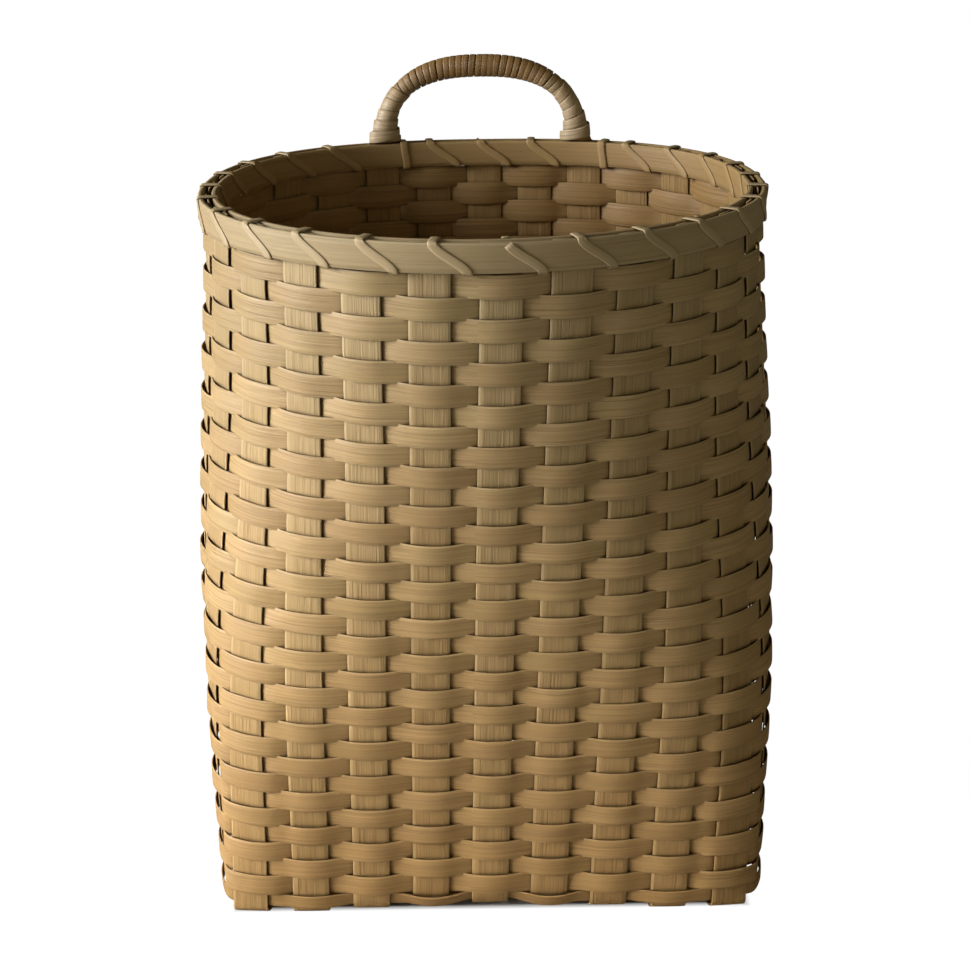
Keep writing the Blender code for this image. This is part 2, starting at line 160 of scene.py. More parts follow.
@dataclass(frozen=True)
class WallForm:
    """The form of the wall: a squarish base that rises past a slight belly to an oval mouth."""

    height: float = 0.460
    base_half_width: float = 0.178
    mouth_half_width: float = 0.1705
    belly_bulge: float = 0.0110
    belly_sharpness: float = 1.5
    base_half_depth: float = 0.118
    mouth_half_depth: float = 0.160
    depth_delay: float = 1.2
    base_squareness: float = 12.0
    mouth_squareness: float = 2.0
    back_squareness: float = 2.45
    squareness_fade: float = 3.5
    front_bend_radius: float = 0.020
    corner_bend_radius: float = 0.007
    front_stakes: int = 9
    side_stakes: int = 5
    stake_width: float = 0.0254
    stake_thickness: float = 0.0010
    stake_lean: float = 0.012
    front_ease: float = 0.045
    side_ease: float = 0.05
    base_level: float = 0.00115
    layer_step: float = 0.00065
    outline_points: int = 1441
    outline_reach: float = 0.002
    frame_reach: float = 0.001

    @property
    def stake_count(self) -> int:
        """How many stake legs stand round the wall."""
        return 2 * (self.front_stakes + self.side_stakes)

    @property
    def back_centre(self) -> int:
        """The stake coordinate of the centre back stake."""
        return self.stake_count // 2

    @property
    def right_centre(self) -> int:
        """The stake coordinate of the middle stake on the right side."""
        return self.stake_count // 4

    @lru_cache(maxsize=8192)
    def outline(self, height: float) -> tuple[np.ndarray, np.ndarray, np.ndarray]:
        """Trace the wall's section at a height.

        Args:
            height: the height above the floor.

        Returns:
            The x and y of points from the front centre rightwards, and their running length.
        """
        level = height / self.height
        taper = self.base_half_width + (self.mouth_half_width - self.base_half_width) * level
        half_width = taper + self.belly_bulge * max(math.sin(math.pi * level), 0.0) ** self.belly_sharpness
        eased = ease(max(level, 0.0) ** self.depth_delay)
        half_depth = self.base_half_depth + (self.mouth_half_depth - self.base_half_depth) * eased
        fade = (1 - min(level, 1.0)) ** self.squareness_fade
        angle = np.linspace(0, 2 * math.pi, self.outline_points)
        sine, cosine = np.sin(angle), np.cos(angle)
        mouth = np.where(cosine > 0, self.mouth_squareness, self.back_squareness)
        power = 2 / (mouth + (self.base_squareness - mouth) * fade)
        x = half_width * np.sign(sine) * np.abs(sine) ** power
        y = -half_depth * np.sign(cosine) * np.abs(cosine) ** power
        length = np.concatenate(([0.0], np.cumsum(np.hypot(np.diff(x), np.diff(y)))))
        return x, y, length

    def section_place(self, stake: float, height: float) -> tuple[np.ndarray, np.ndarray, np.ndarray]:
        """Find where a stake coordinate meets the wall's section at a height.

        Args:
            stake: the stake coordinate.
            height: the height above the floor.

        Returns:
            The place at floor level, the direction round the wall, and the outward normal.
        """
        x, y, length = self.outline(round(height, 6))
        level = height / self.height
        turn = 2 * math.pi * stake / self.stake_count
        lean = self.stake_lean * level * (0.5 + 0.5 * math.cos(turn)) / length[-1]
        front = self.front_ease * level * math.sin(turn) / (2 * math.pi)
        side = self.side_ease * (1 - level) * math.sin(2 * turn) / (4 * math.pi)
        share = stake / self.stake_count + lean + front - side
        steps = np.array((0.0, -self.outline_reach, self.outline_reach))
        along = ((share % 1.0) * length[-1] + steps) % length[-1]
        px, py = np.interp(along, length, x), np.interp(along, length, y)
        tangent = unit(np.array((px[2] - px[1], py[2] - py[1], 0.0)))
        return np.array((px[0], py[0], 0.0)), tangent, np.array((tangent[1], -tangent[0], 0.0))

    def bend_radius(self, stake: float) -> float:
        """Radius of the turn into the base: wide at the middle of the front and back, tight elsewhere."""
        from_front = abs((stake + self.back_centre) % self.stake_count - self.back_centre)
        index = min(from_front, self.back_centre - from_front)
        if index >= self.front_stakes // 2:
            return self.corner_bend_radius
        bulge = math.cos(math.pi * index / (self.front_stakes - 1)) ** 2
        return self.corner_bend_radius + (self.front_bend_radius - self.corner_bend_radius) * bulge

    def straight(self, stake: float) -> float:
        """The drop at which a stake's wall ends and its bend begins."""
        return self.height - self.base_level - self.bend_radius(stake)

    def surface(self, stake: float, drop: float) -> tuple[np.ndarray, np.ndarray, np.ndarray]:
        """Find a place on the wall or its bend.

        Args:
            stake: the stake coordinate.
            drop: the distance down from the top of the rim.

        Returns:
            The place, the direction round the wall, and the outward normal.
        """
        radius = self.bend_radius(stake)
        angle = max(0.0, (drop - self.straight(stake)) / radius)
        height = self.height - drop
        if angle > 0:
            height = self.base_level + radius * (1 - math.sin(angle))
        place, tangent, normal = self.section_place(stake, height)
        centre = place - normal * radius * (1 - math.cos(angle)) + UP * height
        return centre, tangent, math.cos(angle) * normal - math.sin(angle) * UP

    @lru_cache(maxsize=65536)
    def leg_frame(self, stake: int, drop: float) -> LegFrame:
        """Find the frame of a stake at a drop, turned square to its run under the basket through the bend.

        Args:
            stake: the stake coordinate, a whole number.
            drop: the distance down from the top of the rim.

        Returns:
            The stake's frame there.
        """
        centre, width, normal = self.surface(stake, drop)
        reach = self.frame_reach
        above, below = self.surface(stake, drop - reach)[0], self.surface(stake, drop + reach)[0]
        down = unit(below - above)
        from_middle = min(stake % self.back_centre, -stake % self.back_centre)
        runs_front_to_back = from_middle <= self.front_stakes // 2
        across = np.array((1.0, 0.0, 0.0)) if runs_front_to_back else np.array((0.0, 1.0, 0.0))
        across = across * np.sign(np.dot(across, width))
        turned = (drop - self.straight(stake)) / (self.bend_radius(stake) * math.pi / 2)
        width = unit(blend(width, across, min(max(turned, 0.0), 1.0)))
        normal = unit(normal - down * np.dot(normal, down))
        return LegFrame(centre, width, normal, down)


class StripShade(NamedTuple):
    """The two seeded numbers that set one strip's own shade and grain."""

    tone: float
    grain: float


def strip_profile() -> np.ndarray:
    """A flat strip's section with eased edges, in shares of its half-width and half-thickness."""
    face = np.array((-0.96, -0.64, -0.32, 0.0, 0.32, 0.64, 0.96))
    back = np.array((0.96, 0.32, -0.32, -0.96))
    edge = 0.35
    upper = np.column_stack((face, np.ones(len(face))))
    lower = np.column_stack((back, -np.ones(len(back))))
    right, left = np.array(((1.0, edge), (1.0, -edge))), np.array(((-1.0, -edge), (-1.0, edge)))
    return np.concatenate((upper, right, lower, left))


def loft(name: str, rings: np.ndarray, closed: bool, shade: StripShade) -> Mesh:
    """Join equal rings of points into one smooth closed body with its grain maps.

    Args:
        name: the mesh's name.
        rings: points by ring, side and axis.
        closed: whether the last ring joins the first.
        shade: the strip's own seeded numbers.

    Returns:
        The mesh.
    """
    count, sides = rings.shape[:2]
    spans = count if closed else count - 1
    ring, side = np.meshgrid(np.arange(spans), np.arange(sides), indexing="ij")
    following, ahead = (ring + 1) % count, (side + 1) % sides
    corners = ((ring, side), (ring, ahead), (following, ahead), (following, side))
    faces = np.stack([r * sides + s for r, s in corners], axis=-1).reshape(-1, 4)
    middle = rings.mean(axis=1)
    path = np.roll(middle, -1, axis=0) - middle
    outward = rings[:, 0] - middle
    turning = np.cross(outward, rings[:, 1] - rings[:, 0])
    faces_out = np.sum(turning[:spans] * path[:spans]) > 0
    steps = np.linalg.norm(path, axis=1)[:spans]
    along = np.concatenate(([0.0], np.cumsum(steps)))
    widths = np.linalg.norm(np.roll(rings, -1, axis=1) - rings, axis=2).mean(axis=0)
    across = np.concatenate(([0.0], np.cumsum(widths)))
    from_middle = np.abs(across - across[sides // 4])
    from_middle = np.minimum(from_middle, across[-1] - from_middle)
    reach = 1 - np.abs(1 - from_middle / across[sides // 4])
    order = ((0, 0), (0, 1), (1, 1), (1, 0))
    grain = np.stack([np.stack((along[ring + r], across[side + s]), -1) for r, s in order], axis=2)
    share = along / along[-1]
    place = np.stack([np.stack((reach[side + s], share[ring + r]), -1) for r, s in order], axis=2)
    grain, place = grain.reshape(-1, 4, 2), place.reshape(-1, 4, 2)
    if faces_out:
        faces, grain, place = faces[:, ::-1], grain[:, ::-1], place[:, ::-1]
    polygons = faces.tolist()
    if not closed:
        first, last = list(range(sides)), list(range((count - 1) * sides, count * sides))
        polygons.append(first if faces_out else first[::-1])
        polygons.append(last[::-1] if faces_out else last)
    mesh = bpy.data.meshes.new(name)
    mesh.from_pydata(rings.reshape(-1, 3).tolist(), [], polygons)
    loops = len(mesh.loops)
    for layer, values in ((Layer.GRAIN, grain), (Layer.PLACE, place), (Layer.STRIP, None)):
        coordinates = np.tile(np.array(shade, dtype=np.float32), (loops, 1))
        if values is not None:
            coordinates[:len(faces) * 4] = values.reshape(-1, 2)
        uv = mesh.uv_layers.new(name=layer.value)
        uv.data.foreach_set("uv", coordinates.astype(np.float32).ravel())
    mesh.polygons.foreach_set("use_smooth", np.ones(len(mesh.polygons), dtype=bool))
    mesh.update()
    return mesh


@dataclass
class Strip:
    """One strip of split wood, swept along a line."""

    centres: np.ndarray
    acrosses: np.ndarray
    throughs: np.ndarray
    half_width: np.ndarray | float
    half_thickness: float
    crown: float = 0.0
    hollow: float = 0.0
    closed: bool = False

    def rings(self) -> np.ndarray:
        """Place the strip's cross-section at every point of its line."""
        profile = strip_profile()
        half_widths = np.broadcast_to(self.half_width, len(self.centres))
        arch = 1 - profile[:, 0] ** 2
        rise = np.where(profile[:, 1] > 0, self.crown, self.hollow) * arch
        heights = self.half_thickness * profile[:, 1] + rise
        sideways = self.acrosses[:, None] * (half_widths[:, None] * profile[:, 0])[..., None]
        return self.centres[:, None] + sideways + self.throughs[:, None] * heights[None, :, None]

    def mesh(self, name: str, shade: StripShade) -> Mesh:
        """Make the strip's mesh."""
        return loft(name, self.rings(), self.closed, shade)


def seeded(*numbers: int) -> np.random.Generator:
    """A source of chance that gives the same numbers on every run."""
    return np.random.default_rng(numbers)


def shade_of(chance: np.random.Generator) -> StripShade:
    """Draw one strip's own shade."""
    return StripShade(float(chance.random()), float(chance.random()))


def drift(chance: np.random.Generator, count: int, size: float, waves: int = 5) -> np.ndarray:
    """Draw a smooth wander round a hoop.

    Args:
        chance: the source of chance.
        count: how many values to give.
        size: about how far the values wander.
        waves: how many waves are added up.

    Returns:
        The values, in order round the hoop.
    """
    turn = 2 * math.pi * np.arange(count) / count
    total = np.zeros(count)
    for wave in range(1, waves + 1):
        total += chance.normal() * np.cos(wave * turn + chance.random() * 2 * math.pi)
    return total * size / math.sqrt(waves)


def add_piece(node: str | None, mesh: Mesh, material: Material, slot: Slot) -> None:
    """Put a piece in the scene, on the basket's body and in the place of its CAD node.

    Args:
        node: the CAD node that the piece stands for, or None for a detail of its own.
        mesh: the piece's mesh, whose name the piece takes.
        material: the piece's finish.
        slot: the record's slot for that finish.
    """
    mesh.materials.append(material)
    piece = bpy.data.objects.new(mesh.name, mesh)
    bpy.context.scene.collection.objects.link(piece)
    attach(piece, BODY)
    if node:
        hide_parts(node)
    LOG.info("%s: %d faces, finish %s", piece.name, len(mesh.polygons), slot.value)


class Sheet:
    """A node tree under construction."""

    def __init__(self, tree: NodeTree) -> None:
        """Start on a node tree."""
        self.tree = tree

    def add(self, kind: str, sockets: dict[Any, Any] | None = None, **settings: Any) -> Node:
        """Add a node.

        Args:
            kind: the node's type.
            sockets: input names or numbers, each with a value or with the socket that feeds it.
            settings: the node's own options.

        Returns:
            The node.
        """
        node = self.tree.nodes.new(kind)
        for key, value in settings.items():
            setattr(node, key, value)
        for key, value in (sockets or {}).items():
            if isinstance(value, NodeSocket):
                self.link(value, node.inputs[key])
            else:
                node.inputs[key].default_value = value
        return node

    def link(self, source: NodeSocket, target: NodeSocket) -> None:
        """Feed one socket from another."""
        self.tree.links.new(source, target)

    def effect(self, group: NodeTree, sockets: dict[str, Any]) -> Any:
        """Use a shared node group, and give its outputs."""
        return self.add("ShaderNodeGroup", sockets, node_tree=group).outputs

    def sum(self, operation: str, first: Any, second: Any = 0.0) -> NodeSocket:
        """Work out a sum of two values, each a number or a socket."""
        return self.add("ShaderNodeMath", {0: first, 1: second}, operation=operation).outputs[0]

    def vector(self, operation: str, first: Any, second: Any = (0.0, 0.0, 0.0)) -> NodeSocket:
        """Work out a sum of two vectors, each three numbers or a socket."""
        return self.add("ShaderNodeVectorMath", {0: first, 1: second}, operation=operation).outputs[0]

    def axis(self, vector: NodeSocket, number: int) -> NodeSocket:
        """Take one number out of a vector."""
        return self.add("ShaderNodeSeparateXYZ", {0: vector}).outputs[number]

    def noise(self, vector: Any, scale: float, detail: float, roughness: float = 0.5) -> NodeSocket:
        """Read soft noise at a place."""
        sockets = {"Vector": vector, "Scale": scale, "Detail": detail, "Roughness": roughness}
        return self.add("ShaderNodeTexNoise", sockets).outputs[0]

    def ramp(self, value: Any, start: Any, end: Any, low: Any = 0.0, high: Any = 1.0) -> NodeSocket:
        """Turn a range of values into another, held at its ends."""
        sockets = {"Value": value, "From Min": start, "From Max": end, "To Min": low, "To Max": high}
        return self.add("ShaderNodeMapRange", sockets, clamp=True).outputs[0]

    def mix(self, share: Any, first: Any, second: Any, how: str = "MIX") -> NodeSocket:
        """Mix two colours by a share of the second."""
        colours = [rgba(colour) if isinstance(colour, tuple) else colour for colour in (first, second)]
        sockets = {0: share, 6: colours[0], 7: colours[1]}
        return self.add("ShaderNodeMix", sockets, data_type="RGBA", blend_type=how).outputs[2]


class SharedEffects:
    """Shader node groups that several finishes use."""

    fibre_apart: Triple = (83.0, 83.0, 83.0)
    streak_noise: Numbers = (1.0, 4.0, 0.6)
    streak_range: Numbers = (0.25, 0.75)
    line_stretch: Triple = (0.6, 1.9, 1.0)
    line_noise: Numbers = (1.0, 2.0, 0.55)
    line_softness: float = 0.10
    tone_apart: Triple = (47.0, 47.0, 47.0)
    tone_stretch: Triple = (9.0, 14.0, 1.0)
    tone_noise: Numbers = (1.0, 2.0)
    tone_range: Numbers = (0.40, 0.72)
    edge_range: Numbers = (0.86, 1.0)
    fray_range: Numbers = (0.1, 0.6, 0.35, 1.0)
    patch_noise: Numbers = (7.0, 3.0)
    patch_range: Numbers = (0.48, 0.78)
    speck_noise: Numbers = (420.0, 2.0)
    speck_range: Numbers = (0.64, 0.78, 0.0, 0.6)
    # Painted shade: the range of inward facing over which the inside of the wall is darkened.
    inner_shade_range: Numbers = (0.0, -0.4)

    def __init__(self) -> None:
        """Build each group once."""
        self.fibre = self.fibre_group()
        self.tone = self.tone_group()
        self.wear = self.wear_group()
        self.grime = self.grime_group()
        self.age = self.aged_and_shaded_group()

    @staticmethod
    def group(name: str, inputs: Sockets, outputs: Sockets) -> tuple[NodeTree, Sheet, Any, Any]:
        """Start a node group.

        Args:
            name: the group's name.
            inputs: kinds of socket, each with the names of the inputs of that kind.
            outputs: the same for the outputs.

        Returns:
            The group, its sheet, its input node's sockets and its output node's sockets.
        """
        tree = bpy.data.node_groups.new(name, "ShaderNodeTree")
        for side, sockets in (("INPUT", inputs), ("OUTPUT", outputs)):
            for kind, names in sockets.items():
                for socket in names:
                    tree.interface.new_socket(socket, in_out=side, socket_type="NodeSocket" + kind)
        sheet = Sheet(tree)
        return tree, sheet, sheet.add("NodeGroupInput").outputs, sheet.add("NodeGroupOutput").inputs

    def fibre_group(self) -> NodeTree:
        """Long fibres of split wood: soft streaks, and thin dark lines."""
        tree, sheet, given, result = self.group(
            "Split Fibre", {"Vector": ("Grain", "Strip"), "Float": ("Along", "Across", "Line Cut")},
            {"Float": ("Streak", "Line")})
        stretch = sheet.add("ShaderNodeCombineXYZ", {0: given["Along"], 1: given["Across"]}).outputs[0]
        apart = sheet.vector("MULTIPLY", given["Strip"], self.fibre_apart)
        placed = sheet.vector("ADD", sheet.vector("MULTIPLY", given["Grain"], stretch), apart)
        streak = sheet.noise(placed, *self.streak_noise)
        line = sheet.noise(sheet.vector("MULTIPLY", placed, self.line_stretch), *self.line_noise)
        beyond = sheet.sum("ADD", given["Line Cut"], self.line_softness)
        sheet.link(sheet.ramp(streak, *self.streak_range), result["Streak"])
        sheet.link(sheet.ramp(line, given["Line Cut"], beyond), result["Line"])
        return tree

    def tone_group(self) -> NodeTree:
        """Each strip's own shade, drifting along its length."""
        tree, sheet, given, result = self.group(
            "Strip Tone",
            {"Color": ("Color", "Deep", "Olive"), "Vector": ("Grain", "Strip"), "Float": ("Spread",)},
            {"Color": ("Color",)})
        slow = sheet.vector("MULTIPLY", given["Grain"], self.tone_stretch)
        apart = sheet.vector("MULTIPLY", given["Strip"], self.tone_apart)
        placed = sheet.vector("ADD", slow, apart)
        wander = sheet.ramp(sheet.noise(placed, *self.tone_noise), *self.tone_range)
        deep_share = sheet.sum("MULTIPLY", sheet.axis(given["Strip"], 0), given["Spread"])
        wandering = sheet.sum("MULTIPLY", wander, sheet.axis(given["Strip"], 1))
        olive_share = sheet.sum("MULTIPLY", wandering, given["Spread"])
        toned = sheet.mix(deep_share, given["Color"], given["Deep"])
        sheet.link(sheet.mix(olive_share, toned, given["Olive"]), result["Color"])
        return tree

    def wear_group(self) -> NodeTree:
        """Pale frayed wood along the cut edges of a strip."""
        tree, sheet, given, result = self.group(
            "Edge Wear", {"Vector": ("Place",), "Float": ("Streak",)}, {"Float": ("Edge",)})
        near = sheet.ramp(sheet.axis(given["Place"], 0), *self.edge_range)
        frayed = sheet.ramp(given["Streak"], *self.fray_range)
        sheet.link(sheet.sum("MULTIPLY", near, frayed), result["Edge"])
        return tree

    def grime_group(self) -> NodeTree:
        """Soft patches of old handling and dust, by place on the basket."""
        tree, sheet, given, result = self.group(
            "Old Grime", {"Vector": ("Position",)}, {"Float": ("Grime",)})
        patch = sheet.ramp(sheet.noise(given["Position"], *self.patch_noise), *self.patch_range)
        speck = sheet.ramp(sheet.noise(given["Position"], *self.speck_noise), *self.speck_range)
        sheet.link(sheet.sum("MAXIMUM", patch, speck), result["Grime"])
        return tree

    def aged_and_shaded_group(self) -> NodeTree:
        """Wood that grows browner from one height to another, with painted shade darkening the faces that
        turn to the inside of the wall.
        """
        tree, sheet, given, result = self.group(
            "Aged Wood",
            {"Color": ("Color", "Tint", "Inside"), "Vector": ("Position", "Normal"),
             "Float": ("Fresh", "Aged")},
            {"Color": ("Color",)})
        share = sheet.ramp(sheet.axis(given["Position"], 2), given["Fresh"], given["Aged"])
        aged = sheet.mix(share, given["Color"], given["Tint"], "MULTIPLY")
        level = sheet.vector("MULTIPLY", given["Position"], (1.0, 1.0, 0.0))
        sockets = {0: sheet.vector("NORMALIZE", level), 1: given["Normal"]}
        facing = sheet.add("ShaderNodeVectorMath", sockets, operation="DOT_PRODUCT").outputs["Value"]
        # Painted shade: faces turned to the inside of the wall are multiplied by a darker tint.
        inner_shade = sheet.ramp(facing, *self.inner_shade_range)
        sheet.link(sheet.mix(inner_shade, aged, given["Inside"], "MULTIPLY"), result["Color"])
        return tree


@dataclass(frozen=True)
class SplintFinish:
    """The look of one kind of split-wood strip."""

    slot: Slot
    colour: Colour
    deep: Colour
    olive: Colour
    line_colour: Colour
    edge_colour: Colour = (0.74, 0.60, 0.35)
    grime_colour: Colour = (0.25, 0.17, 0.075)
    # Painted shade: a dark colour laid by an ambient-occlusion mask into the recesses and slits between
    # strips.
    painted_shade_colour: Colour = (0.11, 0.068, 0.026)
    painted_shade_strength: float = 0.85
    painted_shade_reach: float = 0.0055
    painted_shade_range: Pair = (0.72, 0.30)
    painted_shade_samples: int = 6
    age_tint: Colour = (1.0, 0.83, 0.62)
    # Painted shade: a darker tint multiplied onto faces turned to the inside of the wall.
    inner_shade_tint: Colour = (0.84, 0.72, 0.54)
    fresh_height: float = 0.45
    aged_height: float = 0.02
    spread: float = 0.7
    along: float = 16.0
    across: float = 520.0
    line_cut: float = 0.60
    line_strength: float = 0.5
    streak_strength: float = 0.35
    edge_strength: float = 0.4
    grime_strength: float = 0.16
    smooth: float = 0.46
    rough: float = 0.68
    shine: float = 0.32
    bump: float = 0.0004
    bump_strength: float = 0.6

    def material(self, effects: SharedEffects) -> Material:
        """Build the finish.

        Args:
            effects: the shared node groups.

        Returns:
            The material.
        """
        material = bpy.data.materials.new(self.slot.value + "_look")
        material.use_nodes = True
        sheet = Sheet(material.node_tree)
        shader = material.node_tree.nodes["Principled BSDF"]
        grain, strip, place = (sheet.add("ShaderNodeUVMap", uv_map=layer.value).outputs[0]
                               for layer in (Layer.GRAIN, Layer.STRIP, Layer.PLACE))
        spot = sheet.add("ShaderNodeTexCoord").outputs
        fibre = sheet.effect(effects.fibre, {
            "Grain": grain, "Strip": strip, "Along": self.along, "Across": self.across,
            "Line Cut": self.line_cut})
        streak, line = fibre["Streak"], fibre["Line"]
        tone = sheet.effect(effects.tone, {
            "Color": rgba(self.colour), "Deep": rgba(self.deep), "Olive": rgba(self.olive),
            "Grain": grain, "Strip": strip, "Spread": self.spread})
        wear = sheet.effect(effects.wear, {"Place": place, "Streak": streak})
        grime = sheet.effect(effects.grime, {"Position": spot["Object"]})
        # Painted shade: the ambient-occlusion mask darkens the colour in recesses and slits, where shade
        # falls.
        nearby = {"Distance": self.painted_shade_reach}
        occlusion_shade = sheet.add("ShaderNodeAmbientOcclusion", nearby, samples=self.painted_shade_samples).outputs["AO"]
        layers = ((sheet.sum("SUBTRACT", 1.0, streak), self.streak_strength, self.line_colour),
                  (line, self.line_strength, self.line_colour),
                  (wear["Edge"], self.edge_strength, self.edge_colour),
                  (grime["Grime"], self.grime_strength, self.grime_colour),
                  (sheet.ramp(occlusion_shade, *self.painted_shade_range), self.painted_shade_strength, self.painted_shade_colour))
        colour = tone["Color"]
        for mask, strength, tint in layers:
            colour = sheet.mix(sheet.sum("MULTIPLY", mask, strength), colour, tint)
        age = sheet.effect(effects.age, {
            "Color": colour, "Tint": rgba(self.age_tint), "Inside": rgba(self.inner_shade_tint),
            "Position": spot["Object"], "Normal": spot["Normal"],
            "Fresh": self.fresh_height, "Aged": self.aged_height})
        height = sheet.sum("SUBTRACT", streak, line)
        bump = {"Strength": self.bump_strength, "Distance": self.bump, "Height": height}
        roughness = sheet.ramp(streak, 0.0, 1.0, self.rough, self.smooth)
        sheet.link(age["Color"], shader.inputs["Base Color"])
        sheet.link(roughness, shader.inputs["Roughness"])
        sheet.link(sheet.add("ShaderNodeBump", bump).outputs[0], shader.inputs["Normal"])
        shader.inputs["Specular IOR Level"].default_value = self.shine
        return material


STAKE_FINISH = SplintFinish(
    Slot.STAKE, (0.60, 0.435, 0.21), (0.48, 0.325, 0.138), (0.50, 0.387, 0.168), (0.27, 0.167, 0.068),
    along=10.0, across=900.0, line_cut=0.56, line_strength=0.50, streak_strength=0.42, bump=0.0006)
WEAVER_FINISH = SplintFinish(
    Slot.WEAVER, (0.63, 0.445, 0.205), (0.47, 0.31, 0.128), (0.50, 0.382, 0.155), (0.27, 0.165, 0.064),
    along=9.0, across=820.0, line_cut=0.58, line_strength=0.46, streak_strength=0.58, edge_strength=0.22,
    smooth=0.42, rough=0.64, shine=0.42)
BAND_FINISH = SplintFinish(
    Slot.BAND, (0.55, 0.405, 0.21), (0.46, 0.325, 0.155), (0.45, 0.36, 0.168), (0.30, 0.19, 0.083),
    along=7.0, across=760.0, line_cut=0.62, line_strength=0.38, streak_strength=0.36, bump=0.0003)
LASHING_FINISH = SplintFinish(
    Slot.LASHING, (0.60, 0.45, 0.24), (0.52, 0.375, 0.18), (0.50, 0.40, 0.19), (0.30, 0.19, 0.083),
    along=14.0, across=900.0, line_cut=0.62, line_strength=0.38, streak_strength=0.36, smooth=0.40,
    rough=0.60, shine=0.4, bump=0.0002)
CORE_FINISH = SplintFinish(
    Slot.CORE, (0.45, 0.31, 0.14), (0.36, 0.24, 0.10), (0.40, 0.30, 0.14), (0.20, 0.125, 0.05))
WRAP_FINISH = SplintFinish(
    Slot.WRAP, (0.76, 0.57, 0.33), (0.60, 0.42, 0.22), (0.62, 0.47, 0.26), (0.16, 0.10, 0.04),
    age_tint=(0.61, 0.47, 0.28), inner_shade_tint=(1.0, 1.0, 1.0), fresh_height=0.488, aged_height=0.511,
    along=34.0, across=700.0, line_cut=0.56, line_strength=0.50, streak_strength=0.62, edge_strength=0.25,
    smooth=0.36, rough=0.58, shine=0.42, bump=0.00025)


@dataclass
class Weave:
    """The weavers: hoops that pass outside every other stake and inside those between."""

    wall: WallForm
    rows: int = 34
    width: float = 0.0137
    inner_width: float = 0.0156
    thickness: float = 0.0008
    pitch: float = 0.0128
    first_drop: float = 0.02495
    last_row_width: float = 0.0095
    last_row_ease: float = 0.0012
    hidden_row_width: float = 0.0110
    hidden_row_drop: float = 0.0085
    stand_off: float = 0.00135
    inner_stand_off: float = 0.0021
    outer_bow: float = 0.0021
    inner_bow: float = 0.0012
    outer_extra: float = 0.0012
    inner_less: float = 0.0008
    bow_spread: float = 0.12
    crown: float = 0.0001
    sway: float = 0.00035
    wobble: float = 0.0002
    tilt: float = 0.03
    stake_steps: int = 7
    gap_steps: int = 4

    def row_drop(self, row: int) -> float:
        """The drop of a row's middle."""
        drop = self.first_drop + (row - 1) * self.pitch
        if row == self.rows:
            drop += self.last_row_ease - (self.pitch - self.last_row_width) / 2
        return drop

    def stake_sway(self, stake: int, drop: float) -> float:
        """How far the weavers push a stake outwards at a drop."""
        row = (drop - self.first_drop) / self.pitch + 1
        held = min(max(row - 0.5, 0.0), 1.0) * min(max(self.rows + 0.5 - row, 0.0), 1.0)
        return self.sway * held * math.cos(math.pi * (row + stake))

    def hoop(self, row: int, drop: float, widths: Pair, stand: Pair, bow: Pair) -> Strip:
        """Run one hoop round the stakes.

        Args:
            row: the row's number, which decides the stakes that it passes outside.
            drop: the drop of the row's middle.
            widths: the strip's width where it passes outside and inside the wall.
            stand: how far it lies from the stakes' middles, outside and inside the wall.
            bow: how far it bows past that at the middle of a stake, outside and inside.

        Returns:
            The hoop as a strip.
        """
        wall = self.wall
        count = wall.stake_count
        chance = seeded(1, row)
        drops = drop + drift(chance, count, self.wobble)
        tilts = chance.normal(0, self.tilt, count)
        bows = chance.normal(1, self.bow_spread, count)
        halves = wall.stake_width / 2 + self.outer_extra, wall.stake_width / 2 - self.inner_less
        passes, slopes, downs, reaches = [], [], [], []
        for stake in range(count):
            place = wall.leg_frame(stake, round(float(drops[stake]), 6))
            outside = (row + stake) % 2 == 1
            side, inside = (1, 0) if outside else (-1, 1)
            rise = bow[inside] * bows[stake]
            half = halves[inside]
            spots = np.linspace(-half, half, self.stake_steps)
            base = self.stake_sway(stake, drop) + side * stand[inside]
            offsets = base + side * rise * (1 - (spots / half) ** 2)
            passes.append(place.centre + place.width * spots[:, None] + place.normal * offsets[:, None])
            bend = side * rise * -2 / half
            slopes.append((place.width - place.normal * bend, place.width + place.normal * bend))
            downs.append(unit(place.down + place.normal * tilts[stake]))
            reaches.append(widths[inside] / 2)
        centres, talls, half_widths = [], [], []
        shares = np.linspace(0, 1, self.gap_steps + 2)[1:-1, None]
        for stake in range(count):
            after = (stake + 1) % count
            centres.append(passes[stake])
            talls.append(np.tile(downs[stake], (self.stake_steps, 1)))
            start, end = passes[stake][-1], passes[after][0]
            length = np.linalg.norm(end - start)
            leave, arrive = slopes[stake][1] * length, slopes[after][0] * length
            square, cube = shares ** 2, shares ** 3
            centres.append((2 * cube - 3 * square + 1) * start + (cube - 2 * square + shares) * leave
                           + (3 * square - 2 * cube) * end + (cube - square) * arrive)
            talls.append(unit(blend(downs[stake], downs[after], ease(shares))))
            half_widths += [reaches[stake]] * self.stake_steps
            half_widths += blend(reaches[stake], reaches[after], ease(shares[:, 0])).tolist()
        line, tall = np.concatenate(centres), np.concatenate(talls)
        along = path_directions(line, closed=True)
        tall = square_to(tall, along)
        through = np.cross(tall, along)
        return Strip(line, tall, through, np.array(half_widths), self.thickness / 2, self.crown, self.crown,
                     closed=True)

    def build(self, finish: Material) -> None:
        """Build and dress every row, and the hidden row that the rim bands grip."""
        close, deep = (self.stand_off, self.stand_off), (self.stand_off, self.inner_stand_off)
        hidden = self.hoop(0, self.hidden_row_drop, (self.hidden_row_width,) * 2, close, (0.0, 0.0))
        add_piece("rim_row", hidden.mesh("rim_row_splint", shade_of(seeded(2, 0))), finish, Slot.WEAVER)
        for row in range(1, self.rows + 1):
            widths = (self.last_row_width,) * 2 if row == self.rows else (self.width, self.inner_width)
            hoop = self.hoop(row, self.row_drop(row), widths, deep, (self.outer_bow, self.inner_bow))
            node = f"weaver_{row:02d}"
            add_piece(node, hoop.mesh(node + "_splint", shade_of(seeded(2, row))), finish, Slot.WEAVER)


